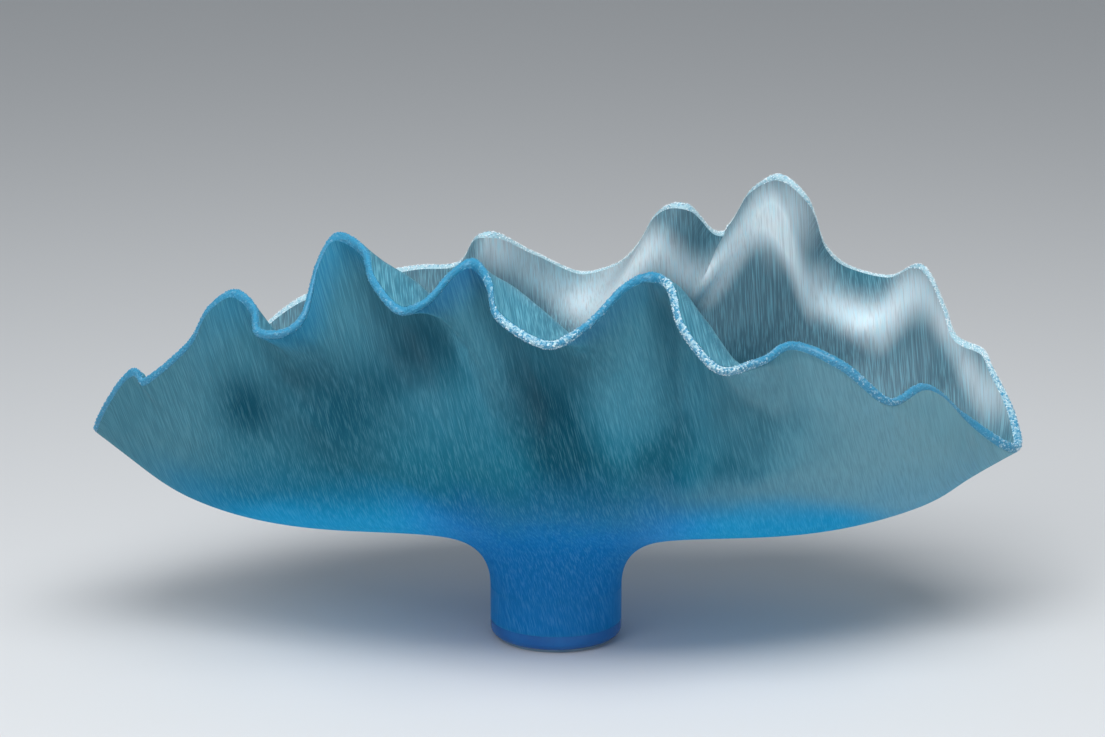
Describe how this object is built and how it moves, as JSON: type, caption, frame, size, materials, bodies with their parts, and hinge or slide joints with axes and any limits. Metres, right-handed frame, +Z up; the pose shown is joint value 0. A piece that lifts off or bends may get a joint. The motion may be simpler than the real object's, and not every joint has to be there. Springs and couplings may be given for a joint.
{
  "type": "glass wave sculpture",
  "caption": "Free-standing ruffled glass bowl of fused blue-teal threads, boat-shaped, with a waving rim on a short round foot.",
  "frame": {"origin": "centre of the underside of the base pad, on the table", "axes": "+X along the bowl to the picture's right, +Y to the back, +Z up"},
  "size_m": [0.5263, 0.2967, 0.2534],
  "materials": {
    "thread_glass": "satin",
    "rim_glass": "rough sparkle",
    "casing_glass": "gloss",
    "core_glass": "satin",
    "blue_glass": "gloss",
    "clear_glass": "gloss"
  },
  "bodies": {
    "root": {"thread_wall": "thread_glass", "rim_edge": "rim_glass", "foot_casing": "casing_glass", "thread_core": "core_glass", "base_disc": "blue_glass", "base_pad": "clear_glass"}
  },
  "joints": []
}
